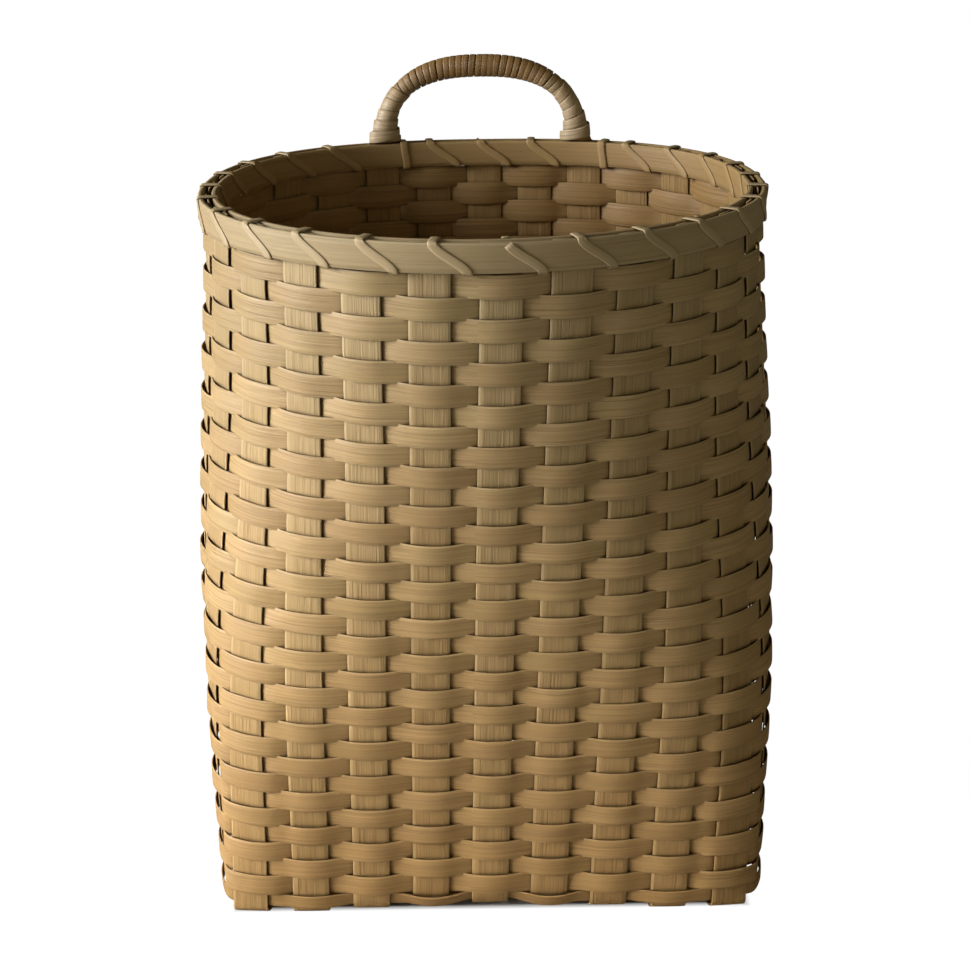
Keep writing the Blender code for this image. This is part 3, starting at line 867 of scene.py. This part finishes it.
@dataclass
class Stakes:
    """The upright splints: each runs down one wall, through the plaited base and up the far wall."""

    wall: WallForm
    weave: Weave
    width: float = 0.0238
    set_left: float = 0.0013
    top_drop: float = 0.0005
    steps_per_row: int = 4
    bend_steps: int = 8
    crossing_steps: int = 4
    gap_steps: int = 4
    crown: float = 0.00018

    def leg(self, stake: int, across: np.ndarray) -> tuple[np.ndarray, np.ndarray, np.ndarray]:
        """Follow a stake from the rim to the base.

        Args:
            stake: the stake coordinate.
            across: the direction that the width keeps to.

        Returns:
            The centres, width directions and outward directions along the leg.
        """
        straight = self.wall.straight(stake)
        turn = self.wall.bend_radius(stake) * math.pi / 2
        rows = int(straight / self.weave.pitch * self.steps_per_row)
        wall_drops = np.linspace(self.top_drop, straight, rows)
        bend_drops = straight + turn * np.arange(1, self.bend_steps + 1) / self.bend_steps
        centres, widths, normals = [], [], []
        for drop in np.concatenate((wall_drops, bend_drops)):
            place = self.wall.leg_frame(stake, round(float(drop), 6))
            aside = place.width * -self.set_left
            centres.append(place.centre + aside + place.normal * self.weave.stake_sway(stake, drop))
            widths.append(place.width * np.sign(np.dot(place.width, across)))
            normals.append(place.normal)
        return np.array(centres), np.array(widths), np.array(normals)

    def floor_run(self, start: np.ndarray, end: np.ndarray, crossings: list[float],
                  under_first: bool) -> np.ndarray:
        """Plait a stake over one and under one between its two bends.

        Args:
            start: where the first bend ends.
            end: where the far bend begins.
            crossings: the distance of each crossing from the start, along the run.
            under_first: whether it passes under the first crossing.

        Returns:
            The points of the run between the bends.
        """
        half = self.wall.stake_width / 2
        marks, levels = [0.0], [start[2]]
        for index, crossing in enumerate(crossings):
            under = (index % 2 == 0) == under_first
            level = self.wall.base_level + self.wall.layer_step * (-1 if under else 1)
            marks += [crossing - half, crossing + half]
            levels += [level, level]
        length = float(np.linalg.norm((end - start)[:2]))
        marks, levels = np.array(marks + [length]), np.array(levels + [end[2]])
        points = []
        for index in range(len(marks) - 1):
            steps = self.gap_steps if index % 2 == 0 else self.crossing_steps
            for share in np.arange(1, steps + 1) / steps:
                along = blend(marks[index], marks[index + 1], share) / length
                point = start + (end - start) * along
                point[2] = blend(levels[index], levels[index + 1], ease(share))
                points.append(point)
        return np.array(points[:-1])

    def splint(self, near: int, far: int, across: np.ndarray, lines: list[np.ndarray],
               under_first: bool) -> Strip:
        """Join two legs and the run between them into one strip.

        Args:
            near: the stake coordinate of the first leg.
            far: the stake coordinate of the last leg.
            across: the width direction under the basket.
            lines: a point on the line of each crossing stake, in order.
            under_first: whether it passes under the first crossing.

        Returns:
            The whole stake as a strip.
        """
        first, last = self.leg(near, across), self.leg(far, across)
        start, end = first[0][-1], last[0][-1]
        run = unit((end - start) * (1, 1, 0))
        crossings = [float(np.dot(line - start, run)) for line in lines]
        floor = self.floor_run(start, end, crossings, under_first)
        centres = np.concatenate((first[0], floor, last[0][::-1]))
        widths = np.concatenate((first[1], np.tile(across, (len(floor), 1)), last[1][::-1]))
        normals = np.concatenate((first[2], np.tile(-UP, (len(floor), 1)), last[2][::-1]))
        half_thickness = self.wall.stake_thickness / 2
        return Strip(centres, widths, normals, self.width / 2, half_thickness, self.crown, self.crown)

    def base_point(self, stake: int) -> np.ndarray:
        """Where a stake's straight run under the basket starts."""
        turn = self.wall.bend_radius(stake) * math.pi / 2
        return self.wall.leg_frame(stake, round(self.wall.straight(stake) + turn, 6)).centre

    def build(self, finish: Material) -> None:
        """Build and dress the front-to-back and side-to-side stakes."""
        wall = self.wall
        front_reach, side_reach = wall.front_stakes // 2, wall.side_stakes // 2
        fronts, sides = range(-front_reach, front_reach + 1), range(-side_reach, side_reach + 1)
        x_axis, y_axis = np.array((1.0, 0.0, 0.0)), np.array((0.0, 1.0, 0.0))
        side_lines = [self.base_point(wall.right_centre + side) * y_axis for side in sides]
        front_lines = [self.base_point(front % wall.stake_count) * x_axis for front in fronts]
        for number, front in enumerate(fronts, 1):
            near, far = front % wall.stake_count, wall.back_centre - front
            strip = self.splint(near, far, x_axis, side_lines, (front + side_reach) % 2 == 0)
            node = f"front_stake_{number}"
            add_piece(node, strip.mesh(node + "_splint", shade_of(seeded(3, number))), finish, Slot.STAKE)
        for number, side in enumerate(sides, 1):
            near, far = wall.stake_count - wall.right_centre - side, wall.right_centre + side
            strip = self.splint(near, far, y_axis, front_lines, (side + front_reach) % 2 == 1)
            node = f"side_stake_{number}"
            add_piece(node, strip.mesh(node + "_splint", shade_of(seeded(4, number))), finish, Slot.STAKE)


@dataclass
class Rim:
    """The two rim bands, and the strip lashed round them."""

    wall: WallForm
    band_height: float = 0.017
    band_thickness: float = 0.0030
    band_face: float = 0.0027
    band_crown: float = 0.0003
    lash_half_width: float = 0.0026
    lash_thickness: float = 0.0008
    lash_crown: float = 0.0003
    outer_gap: float = 0.0002
    inner_gap: float = 0.0002
    corner_radius: float = 0.0014
    top_step: float = 0.03
    leg_step: float = -0.447
    under_step: float = 0.5
    leg_stakes: tuple[int, int] = (12, 16)
    steps_per_stake: int = 8
    face_steps: int = 9
    under_steps: int = 3
    over_steps: int = 4
    corner_turns: Numbers = (0.25, 0.5, 0.75)

    def ring(self, offset: float) -> tuple[np.ndarray, np.ndarray]:
        """Points round the rim's top at an offset outwards, and their outward directions."""
        stakes = np.arange(self.wall.stake_count * self.steps_per_stake) / self.steps_per_stake
        places = [self.wall.surface(stake, 0.0) for stake in stakes]
        normals = np.array([place[2] for place in places])
        return np.array([place[0] for place in places]) + normals * offset, normals

    def build_bands(self, finish: Material) -> None:
        """Build and dress both bands."""
        middle = self.band_face + self.band_thickness / 2
        for index, (node, side) in enumerate((("outer_rim_band", 1), ("inner_rim_band", -1))):
            line, normals = self.ring(side * middle)
            line = line - UP * self.band_height / 2
            upright = np.tile(UP, (len(line), 1))
            band = Strip(line, upright, normals * side, self.band_height / 2, self.band_thickness / 2,
                         self.band_crown, closed=True)
            add_piece(node, band.mesh(node + "_wood", shade_of(seeded(5, index))), finish, Slot.BAND)

    def top_of(self, stake: int) -> float:
        """Where the lashing crosses the top near a stake, clear of the handle's feet."""
        at_leg = stake % self.wall.stake_count in self.leg_stakes
        return stake + (self.leg_step if at_leg else self.top_step)

    def loop(self, stake: int, last: bool) -> list[tuple[float, float, float, float, float]]:
        """Trace one turn of the lashing round the two bands.

        Args:
            stake: the stake that the turn starts from.
            last: whether the strip ends before it crosses the top.

        Returns:
            The stake coordinate, the offset outwards and upwards, and the facing outwards and upwards of
            each point.
        """
        outer = self.band_face + self.band_thickness + self.outer_gap + self.lash_thickness / 2
        inner = self.band_face + self.band_thickness + self.inner_gap + self.lash_thickness / 2
        over = self.outer_gap + self.lash_thickness / 2
        under = -self.band_height - over
        high, low, beyond = self.top_of(stake), stake + self.under_step, self.top_of(stake + 1)
        corners = np.array(((outer, over), (outer, under), (-inner, under), (-inner, over), (outer, over)))
        faces = np.array(((1, 0), (0, -1), (-1, 0), (0, 1), (1, 0)))
        stretches = ((high, low, self.face_steps), (low, low, self.under_steps),
                     (low, beyond, self.face_steps), (beyond, beyond, self.over_steps))
        points = []
        for index, (begin, finish, steps) in enumerate(stretches[:3] if last else stretches):
            towards = unit((corners[index + 1] - corners[index]).astype(float))
            start = corners[index] + towards * self.corner_radius
            end = corners[index + 1] - towards * self.corner_radius
            for share in np.linspace(0, 1, steps):
                swept = (share + ease(share)) / 2
                points.append((blend(begin, finish, swept), *blend(start, end, share), *faces[index]))
            pivot = end - faces[index] * self.corner_radius
            for turn in self.corner_turns:
                angle = turn * math.pi / 2
                facing = faces[index] * math.cos(angle) + faces[index + 1] * math.sin(angle)
                points.append((finish, *(pivot + facing * self.corner_radius), *facing))
        return points

    def build_lashing(self, finish: Material) -> None:
        """Build and dress the two lashing strips, which meet at the front and the back."""
        half = self.wall.back_centre
        for index, (node, first) in enumerate((("right_rim_lashing", 0), ("left_rim_lashing", half))):
            line, facings = [], []
            for stake in range(first, first + half):
                for at, out, up, face_out, face_up in self.loop(stake, stake == first + half - 1):
                    place, _, normal = self.wall.surface(at % self.wall.stake_count, 0.0)
                    line.append(place + normal * out + UP * up)
                    facings.append(normal * face_out + UP * face_up)
            line, facings = np.array(line), np.array(facings)
            along = path_directions(line, closed=False)
            facings = square_to(facings, along)
            lash = Strip(line, np.cross(along, facings), facings, self.lash_half_width,
                         self.lash_thickness / 2, self.lash_crown)
            add_piece(node, lash.mesh(node + "_strip", shade_of(seeded(6, index))), finish, Slot.LASHING)


@dataclass
class Handle:
    """The loop handle: a bent core with its ends in the rim, and a narrow strip wound round it."""

    wall: WallForm
    leg_stakes: tuple[int, int] = (12, 16)
    rise: float = 0.0530
    squareness: float = 2.45
    inset: float = 0.0042
    foot_clearance: float = 0.0010
    half_depth: float = 0.0056
    half_thickness: float = 0.0066
    waist: float = 0.0052
    foot_flare: float = 0.0098
    flare_fade: float = 3.4
    core_stations: int = 60
    core_sides: int = 20
    tongue_length: float = 0.0150
    tongue_half_width: float = 0.0085
    tongue_half_thickness: float = 0.00065
    tongue_offset: float = 0.00145
    wrap_turns: int = 43
    wrap_sides: int = 30
    wrap_thickness: float = 0.0008
    wrap_crown: float = 0.00022
    wrap_lift: float = 0.0006
    wrap_end: float = 0.012
    wrap_cover: float = 0.97
    wrap_unevenness: float = 0.16
    binding_turns: float = -4.6
    binding_reach: float = 0.19
    binding_lift: float = 0.0013
    arch_points: int = 721
    arch_reach: float = 0.004

    def __post_init__(self) -> None:
        """Lay out the arch from the right foot to the left foot."""
        self.feet = [self.wall.leg_frame(stake, 0.0) for stake in self.leg_stakes]
        right = self.feet[0].centre + self.feet[0].width * self.inset
        left = self.feet[1].centre - self.feet[1].width * self.inset
        angles = np.linspace(0, math.pi, self.arch_points)
        power = 2 / self.squareness
        level = np.sin(angles) ** power
        across = np.sign(np.cos(angles)) * np.abs(np.cos(angles)) ** power
        foot = (right + left) / 2 + UP * self.foot_clearance
        rise = UP * (self.rise - self.foot_clearance)
        self.points = foot + across[:, None] * (right - left) / 2 + level[:, None] * rise
        steps = np.linalg.norm(np.diff(self.points, axis=0), axis=1)
        self.length = np.concatenate(([0.0], np.cumsum(steps)))

    def arch(self, share: float) -> tuple[np.ndarray, np.ndarray, np.ndarray, np.ndarray, float]:
        """Find the frame of the arch at a share of its length.

        Args:
            share: the share of the way from the right foot to the left foot.

        Returns:
            The centre, the direction, the outward direction in the arch's plane, the depth direction, and
            the share of the arch's rise.
        """
        along = np.clip(share, 0, 1) * self.length[-1] + np.array((-self.arch_reach, 0.0, self.arch_reach))
        along = np.clip(along, 0, self.length[-1])
        points = np.array([np.interp(along, self.length, self.points[:, axis]) for axis in range(3)]).T
        direction = unit(points[2] - points[0])
        level = (points[1][2] - self.points[0][2]) / (self.rise - self.foot_clearance)
        foot = self.feet[0] if share < 0.5 else self.feet[1]
        turned = (1 - level) ** 2
        depth = unit(turned * foot.normal + (1 - turned) * np.array((0.0, 1.0, 0.0)))
        depth = unit(depth - direction * np.dot(depth, direction))
        return points[1], direction, np.cross(direction, depth), depth, level

    def skin(self, share: float, angle: float, lift: float) -> tuple[np.ndarray, np.ndarray]:
        """A point at an angle round the core, raised off it by a lift, and its outward direction."""
        centre, _, across, depth, level = self.arch(share)
        below_top = max(1 - level, 0.0)
        flare = self.foot_flare * below_top ** self.flare_fade
        wide = self.half_thickness - self.waist * below_top + flare + lift
        deep = self.half_depth + lift
        cosine, sine = math.cos(angle), math.sin(angle)
        facing = unit(across * cosine / wide + depth * sine / deep)
        return centre + across * cosine * wide + depth * sine * deep, facing

    def build_core(self, finish: Material) -> None:
        """Build and dress the core, whose thin ends are tucked between a stake and the outer band."""
        angles = 2 * math.pi * np.arange(self.core_sides) / self.core_sides
        rings = [[self.skin(share, angle, 0.0)[0] for angle in angles]
                 for share in np.linspace(0, 1, self.core_stations)]
        tongues = []
        for foot, side in zip(self.feet, (1, -1)):
            middle = foot.centre + foot.normal * self.tongue_offset
            flat = [middle + foot.width * side * math.cos(angle) * self.tongue_half_width
                    + foot.normal * math.sin(angle) * self.tongue_half_thickness for angle in angles]
            tongues.append([np.array(flat) + UP * height for height in (-self.tongue_length, 0.0)])
        rings = tongues[0] + rings + tongues[1][::-1]
        mesh = loft("handle_core_wood", np.array(rings), False, shade_of(seeded(7, 0)))
        add_piece("handle_core", mesh, finish, Slot.CORE)

    def winding(self, start: float, end: float, turns: float, lift: float) -> Strip:
        """Wind a strip round the core.

        Args:
            start: the share of the arch where it starts.
            end: the share of the arch where it ends.
            turns: how many turns it takes, negative for the other way round.
            lift: how far the strip's middle lies off the core.

        Returns:
            The wound strip.
        """
        count = int(abs(turns) * self.wrap_sides)
        marks = np.arange(int(abs(turns)) + 3)
        uneven = seeded(8, count).normal(0, 1, len(marks))
        uneven = np.interp(np.arange(count + 1) / self.wrap_sides, marks, uneven)
        uneven = np.cumsum(1 + self.wrap_unevenness * uneven)
        shares = start + (end - start) * (uneven - uneven[0]) / (uneven[-1] - uneven[0])
        angles = 2 * math.pi * np.sign(turns) * np.arange(count + 1) / self.wrap_sides
        spots = [self.skin(share, angle, lift) for share, angle in zip(shares, angles)]
        line, facings = np.array([spot[0] for spot in spots]), np.array([spot[1] for spot in spots])
        step = (end - start) / abs(turns) / 2
        ahead, behind = (
            np.array([self.skin(share + on, angle, lift)[0] for share, angle in zip(shares, angles)])
            for on in (step, -step))
        spread = np.linalg.norm(ahead - behind, axis=1) / 2 * self.wrap_cover
        along = path_directions(line, closed=False)
        facings = square_to(facings, along)
        across = np.cross(along, facings)
        return Strip(line, across, facings, spread, self.wrap_thickness / 2, self.wrap_crown)

    def build_wrap(self, finish: Material) -> None:
        """Build and dress the winding, and the short binding that crosses it over each foot."""
        end, reach = self.wrap_end, self.binding_reach
        pieces = (("handle_wrap_strip", end, 1 - end, self.wrap_turns, self.wrap_lift),
                  ("right_foot_binding", end, reach, self.binding_turns, self.binding_lift),
                  ("left_foot_binding", 1 - reach, 1 - end, self.binding_turns, self.binding_lift))
        for index, (name, start, stop, turns, lift) in enumerate(pieces):
            strip = self.winding(start, stop, turns, lift)
            add_piece("handle_wrap", strip.mesh(name, shade_of(seeded(9, index))), finish, Slot.WRAP)


@dataclass(frozen=True)
class Lamp:
    """A soft square lamp."""

    name: str
    place: Triple
    size: float
    power: float
    colour: Colour
    aim: Triple | None = None
    spread: float = 180.0

    def build(self, middle: Vector) -> None:
        """Hang the lamp and turn it to its aim, or to the basket's middle."""
        data = bpy.data.lights.new(self.name, "AREA")
        data.spread = math.radians(self.spread)
        data.size = self.size
        data.energy = self.power
        data.color = self.colour
        lamp = bpy.data.objects.new(self.name, data)
        lamp.location = self.place
        lamp.rotation_mode = "QUATERNION"
        target = Vector(self.aim) if self.aim else middle
        lamp.rotation_quaternion = (target - lamp.location).to_track_quat("-Z", "Y")
        bpy.context.scene.collection.objects.link(lamp)


@dataclass
class Studio:
    """The floor, the lamps, the white surroundings and the camera."""

    floor_radius: float = 14.0
    floor_sides: int = 96
    floor_colour: Colour = (0.36, 0.33, 0.28)
    floor_glow: float = 0.86
    floor_roughness: float = 0.9
    footprint: Pair = (0.172, 0.112)
    footprint_edge: float = 0.95
    floor_white: float = 1.16
    surround_light: float = 0.070
    surround_colour: Colour = (1.0, 0.95, 0.64)
    lamps: tuple[Lamp, ...] = (
        Lamp("key_lamp", (-2.3, -0.50, 1.00), 1.4, 90.0, (0.96, 1.0, 1.12)),
        Lamp("front_lamp", (-1.4, -2.4, 0.75), 1.4, 2.6, (1.0, 0.98, 0.92)),
        Lamp("fill_lamp", (1.0, -1.7, 0.55), 1.0, 0.24, (1.0, 0.99, 0.86), (0.03, -0.13, 0.44), 28.0),
        Lamp("beam_lamp", (-0.88, -0.66, 0.52), 0.35, 0.19, (1.0, 1.0, 1.06), (-0.12, -0.125, 0.17), 24.0),
    )
    image_width: float = 970.0
    focal_pixels: float = 1694.4
    sensor_width: float = 36.0
    view_reach: float = 60.0
    camera_place: Triple = (0.001, -1.0572, 0.6651)
    pitch: float = math.radians(21.09)
    roll: float = math.radians(-0.78)
    yaw: float = math.radians(0.096)

    def build_floor(self) -> None:
        """Lay a wide pale floor that the camera sees as nearly white, with the basket's shadow on it."""
        angles = 2 * math.pi * np.arange(self.floor_sides) / self.floor_sides
        rim = [(self.floor_radius * math.cos(a), self.floor_radius * math.sin(a), 0.0) for a in angles]
        mesh = bpy.data.meshes.new("studio_floor")
        mesh.from_pydata(rim, [], [list(range(self.floor_sides))])
        material = bpy.data.materials.new("studio_floor_white")
        material.use_nodes = True
        sheet = Sheet(material.node_tree)
        shader = material.node_tree.nodes["Principled BSDF"]
        shader.inputs["Base Color"].default_value = rgba(self.floor_colour)
        shader.inputs["Roughness"].default_value = self.floor_roughness
        glow = sheet.add("ShaderNodeEmission", {"Color": WHITE, "Strength": self.floor_white}).outputs[0]
        seen = sheet.add("ShaderNodeLightPath").outputs["Is Camera Ray"]
        spot = sheet.add("ShaderNodeTexCoord").outputs["Object"]
        reaches = [sheet.sum("DIVIDE", sheet.sum("ABSOLUTE", sheet.axis(spot, axis)), reach)
                   for axis, reach in enumerate(self.footprint)]
        in_open = sheet.ramp(sheet.sum("MAXIMUM", *reaches), self.footprint_edge, 1.0)
        share = sheet.sum("MULTIPLY", sheet.sum("MULTIPLY", seen, self.floor_glow), in_open)
        mixed = sheet.add("ShaderNodeMixShader", {0: share, 1: shader.outputs[0], 2: glow}).outputs[0]
        sheet.link(mixed, material.node_tree.nodes["Material Output"].inputs["Surface"])
        mesh.materials.append(material)
        floor = bpy.data.objects.new("studio_floor", mesh)
        bpy.context.scene.collection.objects.link(floor)

    def build_surroundings(self) -> None:
        """Light the room softly, and show it white to the camera."""
        world = bpy.data.worlds.new("studio_surroundings")
        world.use_nodes = True
        bpy.context.scene.world = world
        sheet = Sheet(world.node_tree)
        soft = world.node_tree.nodes["Background"]
        soft.inputs["Color"].default_value = rgba(self.surround_colour)
        soft.inputs["Strength"].default_value = self.surround_light
        white = sheet.add("ShaderNodeBackground", {"Color": WHITE, "Strength": 1.0}).outputs[0]
        seen = sheet.add("ShaderNodeLightPath").outputs["Is Camera Ray"]
        mixed = sheet.add("ShaderNodeMixShader", {0: seen, 1: soft.outputs[0], 2: white}).outputs[0]
        sheet.link(mixed, world.node_tree.nodes["World Output"].inputs["Surface"])

    def build_camera(self) -> None:
        """Stand the camera at the photograph's viewing angle."""
        data = bpy.data.cameras.new("photo_camera")
        data.sensor_fit = "HORIZONTAL"
        data.sensor_width = self.sensor_width
        data.lens = self.focal_pixels / self.image_width * self.sensor_width
        data.clip_end = self.view_reach
        camera = bpy.data.objects.new("photo_camera", data)
        turn = Matrix.Rotation(self.yaw, 4, "Z") @ Matrix.Rotation(math.pi / 2 - self.pitch, 4, "X")
        turn = turn @ Matrix.Rotation(self.roll, 4, "Z")
        camera.matrix_world = Matrix.Translation(self.camera_place) @ turn
        bpy.context.scene.collection.objects.link(camera)
        bpy.context.scene.camera = camera

    def build(self) -> None:
        """Build the whole studio."""
        bpy.context.scene.view_settings.view_transform = "Standard"
        self.build_floor()
        self.build_surroundings()
        for lamp in self.lamps:
            lamp.build((CAD_LOW + CAD_HIGH) / 2)
        self.build_camera()


def clear(objects: Iterable[Object]) -> None:
    """Remove the objects of Blender's starting scene."""
    for old in list(objects):
        bpy.data.objects.remove(old, do_unlink=True)


def main() -> None:
    """Build the studio and every piece of the basket, in order."""
    logging.basicConfig(level=logging.INFO, format="%(name)s: %(message)s")
    ours = set(frame["nodes"].values()) | set(frame["bodies"].values())
    clear(old for old in bpy.data.objects if old not in ours)
    Studio().build()
    effects = SharedEffects()
    wall = WallForm()
    weave = Weave(wall)
    weave.build(WEAVER_FINISH.material(effects))
    Stakes(wall, weave).build(STAKE_FINISH.material(effects))
    rim = Rim(wall)
    rim.build_bands(BAND_FINISH.material(effects))
    rim.build_lashing(LASHING_FINISH.material(effects))
    handle = Handle(wall)
    handle.build_core(CORE_FINISH.material(effects))
    handle.build_wrap(WRAP_FINISH.material(effects))


if __name__ == "__main__":
    main()
